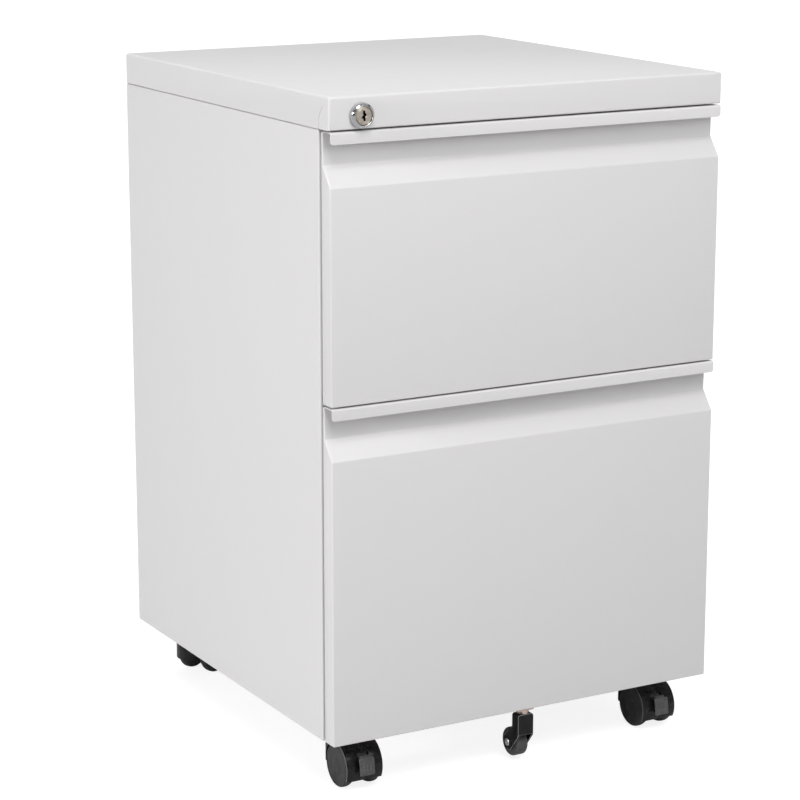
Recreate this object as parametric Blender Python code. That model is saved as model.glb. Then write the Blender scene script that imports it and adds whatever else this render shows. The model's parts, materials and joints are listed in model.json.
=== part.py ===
"""A two-drawer filing pedestal on castors, as an assembly of separate pieces.

The cabinet is folded sheet steel: a lid with skirts, two side pans, a back and a base. Each drawer
is a tray on a pair of three-part ball slides, behind a folded front with a full-width pull. A cam
lock in the lid's front skirt lifts a bar that blocks both drawers. Four twin-wheel castors carry
it, and a small fifth castor under the lower drawer's front keeps it from tipping.

Sizes are in millimetres here and are turned into metres when a mesh is made. X runs across the
front, Y from the front face to the back, and Z up from the floor. The empty called cabinet moves
all of it so that the origin is under the middle of the bounding box.
"""

import math

import bmesh
import bpy
from mathutils import Matrix, Vector

MM = 0.001
GAP = 0.3  # between solids that touch on the real object

# Driving dimensions
WIDTH = 390.0
DEPTH = 408.0  # front face of the lid to the back
HEIGHT = 608.0
SHEET = 0.8
GROUND = 52.0  # floor to the lower edge of the body
SKIRT = 27.6  # height of the lid's folded edge
REVEAL = 2.2  # gap above each drawer front
LOWER_FRONT = 296.0
BODY_FRONT = 18.5  # front edge of the side pans, behind the drawer fronts
FLANGE = 11.5  # inward fold round each side pan

# Drawer fronts and their pulls
FRONT_DEPTH = 16.0
FRONT_MARGIN = 1.0
LIP = 9.2
RECESS_DEPTH = 13.0
RECESS_HEIGHT = 27.5
SLOPE_HEIGHT = 17.0
FRONT_BACK_FLANGE = 28.0

# Trays
TRAY_HALF = 168.9
TRAY_FRONT = FRONT_DEPTH + 0.4
TRAY_BACK = 384.0
TRAY_FLANGE = 5.0
LOWER_TRAY_FLOOR = 66.0
LOWER_TRAY_TOP = 300.0
UPPER_TRAY_FLOOR = 364.0
UPPER_TRAY_TOP = 540.0

# Ball slides
SLIDE_ABOVE_FLOOR = 55.0
SLIDE_FRONT = 34.0
SLIDE_LENGTH = 350.0
RAIL = 1.0
UPRIGHT_DEPTH = 11.7

# Lock
LOCK_X = -165.4
LOCK_BELOW_LID = 16.2
LOCK_PROUD = 6.0
BEZEL_RADIUS = 10.8
BARREL_RADIUS = 8.0
FACE_RADIUS = 7.4
PLUG_RADIUS = 6.2
BARREL_END = 23.0
CAM_PIN_AT = 7.0
CAM_PIN_RADIUS = 1.5
LOCKED_TURN = math.radians(90)
BAR_LIFT = 2 * CAM_PIN_AT * math.sin(LOCKED_TURN / 2)
LOWER_CATCH = 240.0
UPPER_CATCH = 480.0

# Castors
STEM_X = 155.0
FRONT_STEM_Y = 55.0
REAR_STEM_Y = 370.0
TRAIL = 18.0
WHEEL_RADIUS = 19.5
WHEEL_INNER = 5.9
WHEEL_OUTER = 17.3
HOOD_HALF = 17.5
HOOD_RADIUS = 21.4
HOOD_TOP = 47.3
WEB_HALF = 5.5
AXLE_RADIUS = 2.5
LEVER_PIVOT = (-30.0, 30.0)  # of the brake lever, in the castor's side view
ROUND_STEPS = 28

# Fifth castor, under the lower drawer's front
TIP_Y = 6.4
TIP_TRAIL = 11.9
TIP_WHEEL_RADIUS = 13.0
TIP_CLEARANCE = 4.0
FORK_HALF = 8.0
FORK_SHEET = 1.5
FORK_TOP = 47.2

# Values that follow
BODY_TOP = HEIGHT - SKIRT
LOWER_FRONT_TOP = GROUND + LOWER_FRONT
UPPER_FRONT_BOTTOM = LOWER_FRONT_TOP + REVEAL
UPPER_FRONT_TOP = BODY_TOP - REVEAL
SIDE_INNER = WIDTH / 2 - SHEET
LOCK_Z = HEIGHT - LOCK_BELOW_LID
MIDDLE_Y = (DEPTH - LOCK_PROUD) / 2


def material(name, colour, roughness, metallic=0.0):
    made = bpy.data.materials.new(name)
    made.use_nodes = True
    shader = made.node_tree.nodes["Principled BSDF"]
    shader.inputs["Base Color"].default_value = (*colour, 1)
    shader.inputs["Roughness"].default_value = roughness
    shader.inputs["Metallic"].default_value = metallic
    return made


def empty(name, location, parent=None, turn=0.0):
    """An empty that carries the pieces of one moving group, on its joint's axis."""
    made = bpy.data.objects.new(name, None)
    bpy.context.scene.collection.objects.link(made)
    made.parent = parent
    made.location = Vector(location) * MM
    made.rotation_euler.z = turn
    return made


def piece(name, mesh_builder, finish, parent, at=(0, 0, 0)):
    """A new object from a bmesh in millimetres, placed at a point of its parent."""
    mesh_builder.transform(Matrix.Scale(MM, 4))
    bmesh.ops.recalc_face_normals(mesh_builder, faces=mesh_builder.faces)
    mesh = bpy.data.meshes.new(name)
    mesh_builder.to_mesh(mesh)
    mesh_builder.free()
    made = bpy.data.objects.new(name, mesh)
    bpy.context.scene.collection.objects.link(made)
    made.parent = parent
    made.location = Vector(at) * MM
    if finish:
        mesh.materials.append(finish)
    return made


def block(low, high):
    """A bmesh box between two corners."""
    made = bmesh.new()
    bmesh.ops.create_cube(made, size=1)
    size = [b - a for a, b in zip(low, high)]
    middle = [(a + b) / 2 for a, b in zip(low, high)]
    bmesh.ops.scale(made, vec=size, verts=made.verts)
    bmesh.ops.translate(made, vec=middle, verts=made.verts)
    return made


def prism(outline, axis, start, end):
    """A closed outline extruded along X, Y or Z; the outline's two numbers are the other axes."""
    def point(a, b, along):
        return {"X": (along, a, b), "Y": (a, along, b), "Z": (a, b, along)}[axis]

    made = bmesh.new()
    face = made.faces.new([made.verts.new(point(a, b, start)) for a, b in outline])
    grown = bmesh.ops.extrude_face_region(made, geom=[face])
    moved = [g for g in grown["geom"] if isinstance(g, bmesh.types.BMVert)]
    bmesh.ops.translate(made, vec=point(0, 0, end - start), verts=moved)
    return made


def turned(profile, axis, steps=ROUND_STEPS, closed_profile=True):
    """A profile of (radius, distance along the axis) points spun once round X, Y or Z."""
    def point(radius, along):
        return {"X": (along, radius, 0), "Y": (radius, along, 0), "Z": (radius, 0, along)}[axis]

    made = bmesh.new()
    ring = [made.verts.new(point(r, a)) for r, a in profile]
    pairs = list(zip(ring, ring[1:])) + ([(ring[-1], ring[0])] if closed_profile else [])
    edges = [made.edges.new(pair) for pair in pairs]
    turn_axis = {"X": (1, 0, 0), "Y": (0, 1, 0), "Z": (0, 0, 1)}[axis]
    bmesh.ops.spin(
        made, geom=ring + edges, cent=(0, 0, 0), axis=turn_axis,
        angle=math.tau, steps=steps, use_merge=True,
    )
    bmesh.ops.remove_doubles(made, verts=made.verts, dist=1e-4)
    return made


def rod(radius, axis, start, end, steps=ROUND_STEPS):
    """A plain round bar along an axis."""
    return turned([(0, start), (radius, start), (radius, end), (0, end)], axis, steps, False)


def arc(centre, radius, start, end, steps):
    """Points of an arc, with its angles in degrees from the outline's first axis."""
    angles = [math.radians(start + (end - start) * i / steps) for i in range(steps + 1)]
    return [(centre[0] + radius * math.cos(a), centre[1] + radius * math.sin(a)) for a in angles]


def boolean(target, operation, mesh_builder, at=(0, 0, 0)):
    """Cuts, joins or trims the target with a helper shape in the same frame as the target."""
    count = len(target.modifiers) + 1
    helper = piece(f"{target.name}.helper{count}", mesh_builder, None, target.parent, at)
    helper.hide_render = True
    helper.display_type = "WIRE"
    modifier = target.modifiers.new(operation.title(), "BOOLEAN")
    modifier.operation = operation
    modifier.object = helper
    modifier.solver = "EXACT"


def cut(target, mesh_builder, at=(0, 0, 0)):
    boolean(target, "DIFFERENCE", mesh_builder, at)


def join(target, mesh_builder, at=(0, 0, 0)):
    boolean(target, "UNION", mesh_builder, at)


def smooth(target):
    """Round pieces shade smooth, with their corners kept."""
    target.data.shade_smooth()
    target.data.set_sharp_from_angle(angle=math.radians(35))


def mirrored(side, x_near, x_far):
    """Low and high X of a span measured on the left (side -1) or on the right (side 1)."""
    return sorted((side * x_near, side * x_far))


def make_top_cap(finish, cabinet):
    """The lid: a folded pan, open below, with a stiffening fold under its front edge."""
    half = WIDTH / 2
    cap = piece("top_cap", block((-half, 0, BODY_TOP), (half, DEPTH, HEIGHT)), finish, cabinet)
    inside = half - SHEET
    cut(cap, block((-inside, SHEET, BODY_TOP + SHEET), (inside, DEPTH - SHEET, HEIGHT - SHEET)))
    cut(cap, block((-inside, 12, BODY_TOP - 2), (inside, DEPTH - SHEET, BODY_TOP + 2)))
    cut(cap, rod(BARREL_RADIUS + 0.4, "Y", -2, 2), at=(LOCK_X, 0, LOCK_Z))


def make_side_pan(name, side, finish, cabinet):
    """A side panel folded inwards on all four edges, with a second fold down its front."""
    top = BODY_TOP - 0.5
    outer = WIDTH / 2
    x0, x1 = mirrored(side, outer - FLANGE, outer)
    pan = piece(name, block((x0, BODY_FRONT, GROUND), (x1, DEPTH, top)), finish, cabinet)
    x0, x1 = mirrored(side, outer - FLANGE - 2, SIDE_INNER)
    cut(pan, block((x0, BODY_FRONT + SHEET, GROUND + SHEET), (x1, DEPTH - SHEET, top - SHEET)))
    x0, x1 = mirrored(side, outer - FLANGE, outer - FLANGE + SHEET)
    join(pan, block((x0, BODY_FRONT + SHEET / 2, 70), (x1, BODY_FRONT + 5.5, top - 20)))
    if side < 0:
        slot = (SIDE_INNER - 9, SIDE_INNER - 1)
        cut(pan, block((-slot[1], 20, top - 3), (-slot[0], 33, top + 3)))


def make_back_panel(finish, cabinet):
    """The back lies inside the side pans' rear folds."""
    half = SIDE_INNER - GAP
    rear = DEPTH - SHEET - GAP
    low = (-half, rear - SHEET, GROUND + SHEET + GAP)
    piece("back_panel", block(low, (half, rear, BODY_TOP - 0.5 - SHEET - GAP)), finish, cabinet)


def make_base_panel(finish, cabinet):
    """The base: a shallow pan on the side pans' lower folds, with four weld nuts for the castors."""
    half = SIDE_INNER - GAP
    front, rear = BODY_FRONT + SHEET + GAP, DEPTH - 2 * SHEET - 2 * GAP
    floor = GROUND + SHEET + GAP
    thick = 1.0
    base = piece("base_panel", block((-half, front, floor), (half, rear, floor + 10)), finish, cabinet)
    inner = (half - thick, rear - thick, floor + 12)
    cut(base, block((-half + thick, front + thick, floor + thick), inner))
    for x, y in stem_places():
        join(base, rod(8.5, "Z", floor + thick / 2, floor + 6, 12), at=(x, y, 0))
        cut(base, rod(5.4, "Z", floor - 2, floor + 8, 16), at=(x, y, 0))


def make_uprights(finish, cabinet):
    """Four channels that stand between the side pans and the slides."""
    low, high = GROUND + 16, BODY_TOP - 8
    for side, side_name in ((-1, "left"), (1, "right")):
        for front, place_name in ((36.0, "front"), (340.0, "rear")):
            wide = 30.0
            outer = SIDE_INNER - GAP
            x0, x1 = mirrored(side, outer - UPRIGHT_DEPTH, outer)
            name = f"upright_{side_name}_{place_name}"
            post = piece(name, block((x0, front, low), (x1, front + wide, high)), finish, cabinet)
            x0, x1 = mirrored(side, outer - UPRIGHT_DEPTH + RAIL, outer + 2)
            cut(post, block((x0, front + RAIL, low - 2), (x1, front + wide - RAIL, high + 2)))


def slide_sections():
    """Cross-sections of a slide's three members: distance in from the side pan, and height."""
    u0 = UPRIGHT_DEPTH + 2 * GAP
    outer = [
        (u0, -17.5), (u0 + 9.7, -17.5), (u0 + 9.7, -14.6), (u0 + 8.7, -14.6), (u0 + 8.7, -16.5),
        (u0 + RAIL, -16.5), (u0 + RAIL, 16.5), (u0 + 8.7, 16.5), (u0 + 8.7, 14.6),
        (u0 + 9.7, 14.6), (u0 + 9.7, 17.5), (u0, 17.5),
    ]
    middle = [
        (u0 + 2.3, -13.2), (u0 + 10.9, -13.2), (u0 + 10.9, -12.2), (u0 + 3.3, -12.2),
        (u0 + 3.3, 12.2), (u0 + 10.9, 12.2), (u0 + 10.9, 13.2), (u0 + 2.3, 13.2),
    ]
    inner = [
        (u0 + 12.7, -9.6), (u0 + 12.7, 9.6), (u0 + 5.0, 9.6), (u0 + 5.0, 8.6),
        (u0 + 11.7, 8.6), (u0 + 11.7, -8.6), (u0 + 5.0, -8.6), (u0 + 5.0, -9.6),
    ]
    return {"outer": outer, "middle": middle, "inner": inner}


def make_slide(drawer_name, height, finish, carriers):
    """The two ball slides of one drawer; carriers gives the group that each member moves with."""
    spans = {
        "outer": (SLIDE_FRONT, SLIDE_FRONT + SLIDE_LENGTH),
        "middle": (SLIDE_FRONT + 4, SLIDE_FRONT + SLIDE_LENGTH - 16),
        "inner": (SLIDE_FRONT - 4, SLIDE_FRONT + SLIDE_LENGTH - 9),
    }
    for member, section in slide_sections().items():
        start, end = spans[member]
        for side, side_name in ((-1, "left"), (1, "right")):
            outline = [(side * (SIDE_INNER - u), height + v) for u, v in section]
            name = f"{drawer_name}_slide_{member}_{side_name}"
            piece(name, prism(outline, "Y", start, end), finish, carriers[member])


def make_drawer_front(name, bottom, top, finish, drawer):
    """A folded front: a lipped ledge over a finger recess, a slope and a flat face."""
    half = WIDTH / 2 - FRONT_MARGIN
    slope_top = top - RECESS_HEIGHT
    slope_bottom = slope_top - SLOPE_HEIGHT
    outline = [
        (0, top - LIP), (0, top), (FRONT_DEPTH, top), (FRONT_DEPTH, bottom), (0, bottom),
        (0, slope_bottom), (RECESS_DEPTH, slope_top), (RECESS_DEPTH, top - SHEET),
        (SHEET, top - SHEET), (SHEET, top - LIP),
    ]
    front = piece(name, prism(outline, "X", -half, half), finish, drawer)
    rise = SLOPE_HEIGHT / RECESS_DEPTH
    drop = SHEET * math.sqrt(1 + rise * rise) - SHEET * rise
    back_fold = FRONT_DEPTH - SHEET
    hollow = [
        (SHEET, bottom + SHEET), (SHEET, slope_bottom - drop),
        (RECESS_DEPTH + SHEET, slope_top - drop), (RECESS_DEPTH + SHEET, top - SHEET),
        (back_fold, top - SHEET), (back_fold, bottom + SHEET),
    ]
    cut(front, prism(hollow, "X", -half + SHEET, half - SHEET))
    window = half - FRONT_BACK_FLANGE
    cut(front, block((-window, back_fold - 1, bottom + 12), (window, FRONT_DEPTH + 2, top - 6)))


def make_tray(name, floor, top, wall_top, finish, drawer):
    """An open steel tray with a tall front wall and outward folds along the tops of its sides."""
    tray = piece(
        name, block((-TRAY_HALF, TRAY_FRONT, floor), (TRAY_HALF, TRAY_BACK, top)), finish, drawer
    )
    inner = TRAY_HALF - SHEET
    high = (inner, TRAY_BACK - SHEET, top + 5)
    cut(tray, block((-inner, TRAY_FRONT + SHEET, floor + SHEET), high))
    wall = ((-TRAY_HALF, TRAY_FRONT, top - 20), (TRAY_HALF, TRAY_FRONT + SHEET, wall_top))
    join(tray, block(*wall))
    for side in (-1, 1):
        x0, x1 = mirrored(side, inner + SHEET / 2, TRAY_HALF + TRAY_FLANGE)
        join(tray, block((x0, TRAY_FRONT + 10, top - SHEET), (x1, TRAY_BACK, top)))


def make_file_rails(finish, drawer):
    """Two angle strips on the lower tray's sides that hanging folders hook onto."""
    foot = LOWER_TRAY_TOP + GAP
    for side, side_name in ((-1, "left"), (1, "right")):
        section = [
            (164.0, foot), (172.5, foot), (172.5, foot + 1.2), (165.2, foot + 1.2),
            (165.2, foot + 11), (164.0, foot + 11),
        ]
        outline = [(side * x, z) for x, z in section]
        name = f"file_rail_{side_name}"
        piece(name, prism(outline, "Y", TRAY_FRONT + 12, TRAY_BACK - 4), finish, drawer)


def make_catch(name, height, finish, drawer):
    """An angle on the tray's left side that the lock bar's tab stands in front of."""
    x0, x1 = -TRAY_HALF - GAP, -TRAY_HALF - GAP - 1.2
    reach = -(SIDE_INNER - 12.8)
    outline = [(x0, 28), (reach, 28), (reach, 29.2), (x1, 29.2), (x1, 46), (x0, 46)]
    piece(name, prism(outline, "Z", height, height + 10), finish, drawer)


def make_lock(chrome, steel, cabinet, plug_group, bar_group):
    """A cam lock through the lid's front skirt, its nut, the cam, and the bar that it lifts."""
    at = (LOCK_X, 0, LOCK_Z)
    mouth, bore, step = FACE_RADIUS + 0.3, PLUG_RADIUS + 0.3, -0.9
    housing_profile = [
        (mouth, -LOCK_PROUD), (8.6, -LOCK_PROUD), (9.9, -5.0), (BEZEL_RADIUS, -2.8),
        (BEZEL_RADIUS, -GAP), (BARREL_RADIUS, -GAP), (BARREL_RADIUS, BARREL_END),
        (bore, BARREL_END), (bore, step), (mouth, step),
    ]
    housing = piece("lock_housing", turned(housing_profile, "Y", 32), chrome, cabinet, at)
    smooth(housing)
    flat_to_corner = 10.2 / math.cos(math.radians(30))
    hexagon = arc((0, 0), flat_to_corner, 0, 300, 5)
    nut = piece("lock_nut", prism(hexagon, "Y", SHEET + GAP, SHEET + GAP + 5), steel, cabinet, at)
    cut(nut, rod(BARREL_RADIUS + 0.3, "Y", 0, 8), at=at)

    plug_profile = [
        (0, -LOCK_PROUD + 0.5), (FACE_RADIUS, -LOCK_PROUD + 0.5), (FACE_RADIUS, step - GAP),
        (PLUG_RADIUS, step - GAP), (PLUG_RADIUS, 24.0), (0, 24.0),
    ]
    plug = piece("lock_plug", turned(plug_profile, "Y", 28, False), chrome, plug_group)
    cut(plug, block((-0.8, -8, -4.2), (0.8, 12, 4.2)))
    smooth(plug)
    lean = math.radians(225)
    pin = (CAM_PIN_AT * math.cos(lean), 0, CAM_PIN_AT * math.sin(lean))
    lobe = arc((0, 0), 8.0, -90, 180, 12) + arc((pin[0], pin[2]), 4.0, 180, 270, 4)
    cam = piece("lock_cam", prism(lobe, "Y", 24.4, 26.4), steel, plug_group)
    join(cam, rod(CAM_PIN_RADIUS, "Y", 25.4, 33, 12), at=pin)

    bar_x = (-(SIDE_INNER - 4.0), -(SIDE_INNER - 5.5))
    arm_low, arm_high = LOCK_Z - 9.7, LOCK_Z - 0.2
    strip = block((bar_x[0], 21, LOWER_CATCH - 14), (bar_x[1], 31, arm_high))
    bar = piece("lock_bar", strip, steel, bar_group)
    join(bar, block((bar_x[0], 29.5, arm_low), (LOCK_X + 2, 31, arm_high)))
    for catch in (LOWER_CATCH, UPPER_CATCH):
        join(bar, block((bar_x[1] - 0.7, 25, catch - 12), (-174, 26.5, catch - 3)))
    pin_x, pin_z = LOCK_X + pin[0], LOCK_Z + pin[2]
    slack = CAM_PIN_RADIUS + 0.45
    cut(bar, block((pin_x - 4.2, 28, pin_z - slack), (pin_x + 2.2, 33, pin_z + slack)))


def stem_places():
    """The four castor stems, front pair first, left before right."""
    return [(x, y) for y in (FRONT_STEM_Y, REAR_STEM_Y) for x in (-STEM_X, STEM_X)]


def make_castor_hood(name, braked, finish, group):
    """The moulded body: a half ring over both wheels, a web between them and a rear skirt."""
    axle = (-TRAIL, WHEEL_RADIUS)
    rear_round = -3.0
    rear = rear_round + HOOD_HALF
    side_view = arc(axle, HOOD_RADIUS, 208, 80, 14)
    side_view += [(-10, HOOD_TOP), (rear + 1, HOOD_TOP), (rear + 1, 17.5), (-TRAIL, 17.5)]
    side_view += [(-TRAIL, side_view[0][1])]
    wide = HOOD_HALF + 1
    hood = piece(name, prism(side_view, "X", -wide, wide), finish, group)
    plan = [(HOOD_HALF, -60)] + arc((0, rear_round), HOOD_HALF, 0, 180, 14) + [(-HOOD_HALF, -60)]
    boolean(hood, "INTERSECT", prism(plan, "Z", 5, 60))
    join(hood, rod(11, "X", -WEB_HALF - 1, WEB_HALF + 1, 20), at=(0, *axle))
    for side in (-1, 1):
        x0, x1 = mirrored(side, WEB_HALF, HOOD_HALF + 2)
        cut(hood, rod(WHEEL_RADIUS + 0.7, "X", x0, x1), at=(0, *axle))
    cut(hood, rod(AXLE_RADIUS + 0.1, "X", -8, 8, 12), at=(0, *axle))
    cut(hood, rod(4.3, "Z", 33, HOOD_TOP + 2, 16))
    if braked:
        cut(hood, block((-WEB_HALF - 0.2, -45, 17), (WEB_HALF + 0.2, -30, 34)))
        cut(hood, rod(4.0, "X", -WEB_HALF - 0.2, WEB_HALF + 0.2, 12), at=(0, *LEVER_PIVOT))
    smooth(hood)


def make_brake_lever(name, finish, group):
    """A paddle in front of the hood on an arm that pivots between the wheels."""
    hub = arc((0, 0), 3.5, -60, 180, 8)
    arm = hub + [(-8.5, 2.6), (-11.5, 1.6), (-12.8, 0.4), (-12.4, -2.0), (-8.5, -1.4), (-3.0, -2.4)]
    lever = piece(name, prism(arm, "X", -4.9, 4.9), finish, group)
    paddle = [(-10.6, 1.4), (-13.0, 1.2), (-14.2, -6.0), (-14.9, -13.8), (-12.9, -14.2), (-12.0, -6.0)]
    join(lever, prism(paddle, "X", -7.2, 7.2))


def make_castor(name, stem, turn, braked, plastic, steel, cabinet):
    """One twin-wheel castor at a stem; turn is the angle that it has swivelled to."""
    at = (*stem, 0)
    collar = [
        (0, 34), (4.0, 34), (4.0, HOOD_TOP + GAP), (8.5, HOOD_TOP + GAP), (8.5, GROUND + 0.6),
        (5.0, GROUND + 0.6), (5.0, GROUND + 9.5), (0, GROUND + 9.5),
    ]
    stem_mesh = turned(collar, "Z", 16, False)
    smooth(piece(f"{name}_stem", stem_mesh, steel, cabinet, at))
    group = empty(f"{name}_swivel", at, cabinet, turn)
    make_castor_hood(f"{name}_hood", braked, plastic, group)
    axle_at = (0, -TRAIL, WHEEL_RADIUS)
    smooth(piece(f"{name}_axle", rod(AXLE_RADIUS, "X", -16.8, 16.8, 14), steel, group, axle_at))
    bore = AXLE_RADIUS + 0.2
    for side, side_name in ((-1, "left"), (1, "right")):
        profile = [
            (bore, WHEEL_INNER), (15.4, WHEEL_INNER), (17.4, WHEEL_INNER + 1.8),
            (18.8, WHEEL_INNER + 3.8), (WHEEL_RADIUS, WHEEL_INNER + 5.8),
            (WHEEL_RADIUS, WHEEL_OUTER - 2.6), (17.3, WHEEL_OUTER), (bore, WHEEL_OUTER),
        ]
        wheel_mesh = turned([(r, side * x) for r, x in profile], "X")
        smooth(piece(f"{name}_wheel_{side_name}", wheel_mesh, plastic, group, axle_at))
    if braked:
        pivot = empty(f"{name}_lever_pivot", (0, *LEVER_PIVOT), group)
        make_brake_lever(f"{name}_brake_lever", plastic, pivot)


def make_tip_castor(plastic, black_steel, steel, drawer):
    """The fifth castor: a plate on the drawer front, a swivelling fork and one small wheel."""
    at = (0, TIP_Y, 0)
    plate_low = GROUND - GAP - 1.2
    plate = block((-8.5, -5.2, plate_low), (8.5, 7.0, GROUND - GAP))
    mount = piece("tip_castor_mount", plate, steel, drawer, at)
    rivet = [
        (0, FORK_TOP - 4.2), (3.9, FORK_TOP - 4.2), (3.9, FORK_TOP - 2.0), (2.4, FORK_TOP - 2.0),
        (2.4, FORK_TOP + GAP), (5.6, FORK_TOP + GAP), (5.6, plate_low + 0.5), (0, plate_low + 0.5),
    ]
    join(mount, turned(rivet, "Z", 16, False), at=at)

    group = empty("tip_castor_swivel", at, drawer)
    axle = (TIP_TRAIL, TIP_CLEARANCE + TIP_WHEEL_RADIUS)
    front, rear, web_low = -5.8, 4.7, 28.0
    cheek = [(front, FORK_TOP), (front, web_low - 1)]
    cheek += arc(axle, 7.6, 215, 415, 14)
    cheek += [(rear, 33.5), (rear, FORK_TOP)]
    fork = piece("tip_castor_fork", prism(cheek, "X", -FORK_HALF, FORK_HALF), black_steel, group)
    inner = FORK_HALF - FORK_SHEET
    cut(fork, block((-inner, front + FORK_SHEET, -2), (inner, 60, FORK_TOP - FORK_SHEET)))
    cut(fork, block((-inner, front - 2, -2), (inner, front + 8, web_low)))
    cut(fork, rod(2.8, "Z", FORK_TOP - 5, FORK_TOP + 2, 14))
    cut(fork, rod(2.2, "X", -12, 12, 14), at=(0, *axle))

    axle_at = (0, *axle)
    half = inner - 0.7
    profile = [
        (2.3, -half), (11.8, -half), (TIP_WHEEL_RADIUS, -half + 1.4),
        (TIP_WHEEL_RADIUS, half - 1.4), (11.8, half), (2.3, half),
    ]
    smooth(piece("tip_castor_wheel", turned(profile, "X", 24), plastic, group, axle_at))
    head = FORK_HALF + GAP
    pin = [
        (0, -head - 1.2), (3.4, -head - 1.2), (3.4, -head), (2.0, -head),
        (2.0, head), (3.4, head), (3.4, head + 1.2), (0, head + 1.2),
    ]
    smooth(piece("tip_castor_axle", turned(pin, "X", 16, False), steel, group, axle_at))


def main():
    for old in list(bpy.data.objects):
        bpy.data.objects.remove(old)

    white = material("white_powder_coat", (0.86, 0.86, 0.86), 0.45)
    zinc = material("zinc_plated_steel", (0.62, 0.63, 0.65), 0.35, 1.0)
    chrome = material("chrome", (0.80, 0.80, 0.80), 0.12, 1.0)
    black = material("black_plastic", (0.035, 0.035, 0.038), 0.5)
    black_steel = material("black_painted_steel", (0.03, 0.03, 0.03), 0.35)

    cabinet = empty("cabinet", (0, -MIDDLE_Y, 0))
    make_top_cap(white, cabinet)
    make_side_pan("side_panel_left", -1, white, cabinet)
    make_side_pan("side_panel_right", 1, white, cabinet)
    make_back_panel(white, cabinet)
    make_base_panel(white, cabinet)
    make_uprights(zinc, cabinet)

    levels = {
        "upper": (UPPER_FRONT_BOTTOM, UPPER_FRONT_TOP, UPPER_TRAY_FLOOR, UPPER_TRAY_TOP, UPPER_CATCH),
        "lower": (GROUND, LOWER_FRONT_TOP, LOWER_TRAY_FLOOR, LOWER_TRAY_TOP, LOWER_CATCH),
    }
    drawers = {}
    for name, (front_bottom, front_top, floor, top, catch) in levels.items():
        drawer = empty(f"{name}_drawer", (0, 0, 0), cabinet)
        middle = empty(f"{name}_slide_middles", (0, 0, 0), cabinet)
        carriers = {"outer": cabinet, "middle": middle, "inner": drawer}
        make_drawer_front(f"{name}_drawer_front", front_bottom, front_top, white, drawer)
        make_tray(f"{name}_tray", floor, top, front_top - 7, white, drawer)
        make_slide(name, floor + SLIDE_ABOVE_FLOOR, zinc, carriers)
        make_catch(f"{name}_lock_catch", catch, zinc, drawer)
        drawers[name] = drawer
    make_file_rails(zinc, drawers["lower"])

    plug_group = empty("lock_turn", (LOCK_X, 0, LOCK_Z), cabinet)
    bar_group = empty("lock_lift", (0, 0, 0), cabinet)
    make_lock(chrome, zinc, cabinet, plug_group, bar_group)

    turns = {
        "front_left": (0.0, True),
        "front_right": (0.0, True),
        "rear_left": (math.radians(118), False),
        "rear_right": (math.radians(-105), False),
    }
    for (name, (turn, braked)), stem in zip(turns.items(), stem_places()):
        make_castor(f"castor_{name}", stem, turn, braked, black, zinc, cabinet)
    make_tip_castor(black, black_steel, zinc, drawers["lower"])


main()
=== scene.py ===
# %% [markdown]
# # A filing pedestal in white sheet steel
# The pedestal is a lid, two side pans, a back and a base, all folded from 0.8 mm steel, with two
# drawers on ball slides, a cam lock in the lid and black castors below. The frame already holds
# every part at its true size and place. This script makes the surfaces that a person would see:
# folds with a radius, a powder coat with its fine texture, chrome, zinc and moulded nylon.

# %% Load the frame
import json
import math

import bmesh
import bpy
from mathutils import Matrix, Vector

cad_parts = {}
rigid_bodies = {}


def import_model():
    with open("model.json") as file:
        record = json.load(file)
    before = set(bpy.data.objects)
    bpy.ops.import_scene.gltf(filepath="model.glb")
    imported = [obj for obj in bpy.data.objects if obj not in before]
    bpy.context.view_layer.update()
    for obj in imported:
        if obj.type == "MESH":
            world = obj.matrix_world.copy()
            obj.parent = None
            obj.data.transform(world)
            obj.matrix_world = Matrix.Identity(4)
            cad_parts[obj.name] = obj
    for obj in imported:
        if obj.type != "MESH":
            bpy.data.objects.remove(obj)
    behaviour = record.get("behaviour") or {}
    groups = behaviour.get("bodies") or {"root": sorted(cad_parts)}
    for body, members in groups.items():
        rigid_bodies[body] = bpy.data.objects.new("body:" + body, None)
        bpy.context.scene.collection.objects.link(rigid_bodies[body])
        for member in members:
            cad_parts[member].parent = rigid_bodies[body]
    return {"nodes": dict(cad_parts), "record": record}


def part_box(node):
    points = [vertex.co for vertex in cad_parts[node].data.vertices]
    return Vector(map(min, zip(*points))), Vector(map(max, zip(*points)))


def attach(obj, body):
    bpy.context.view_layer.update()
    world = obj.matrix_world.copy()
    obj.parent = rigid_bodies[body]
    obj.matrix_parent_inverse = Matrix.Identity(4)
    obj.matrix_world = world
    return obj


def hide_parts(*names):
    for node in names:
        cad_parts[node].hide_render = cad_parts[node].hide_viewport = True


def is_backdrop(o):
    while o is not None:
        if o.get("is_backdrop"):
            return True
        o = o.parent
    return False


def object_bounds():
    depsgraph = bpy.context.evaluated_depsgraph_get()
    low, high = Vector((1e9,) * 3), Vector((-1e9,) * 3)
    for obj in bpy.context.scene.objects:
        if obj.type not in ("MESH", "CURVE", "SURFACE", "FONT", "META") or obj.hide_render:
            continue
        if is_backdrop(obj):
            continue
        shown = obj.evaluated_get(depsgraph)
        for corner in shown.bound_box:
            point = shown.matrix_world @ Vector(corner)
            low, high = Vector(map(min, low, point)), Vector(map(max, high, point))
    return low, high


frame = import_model()
nodes = frame["nodes"]
cad_low, cad_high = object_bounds()
MM = 0.001
print("frame:", len(nodes), "nodes, from", cad_low, "to", cad_high)

# %% [markdown]
# ## The camera
# The pedestal is seen from its left and a little above, through a long lens, so that its edges
# stay close to parallel. The camera looks at a point just left of and below the middle.

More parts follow.
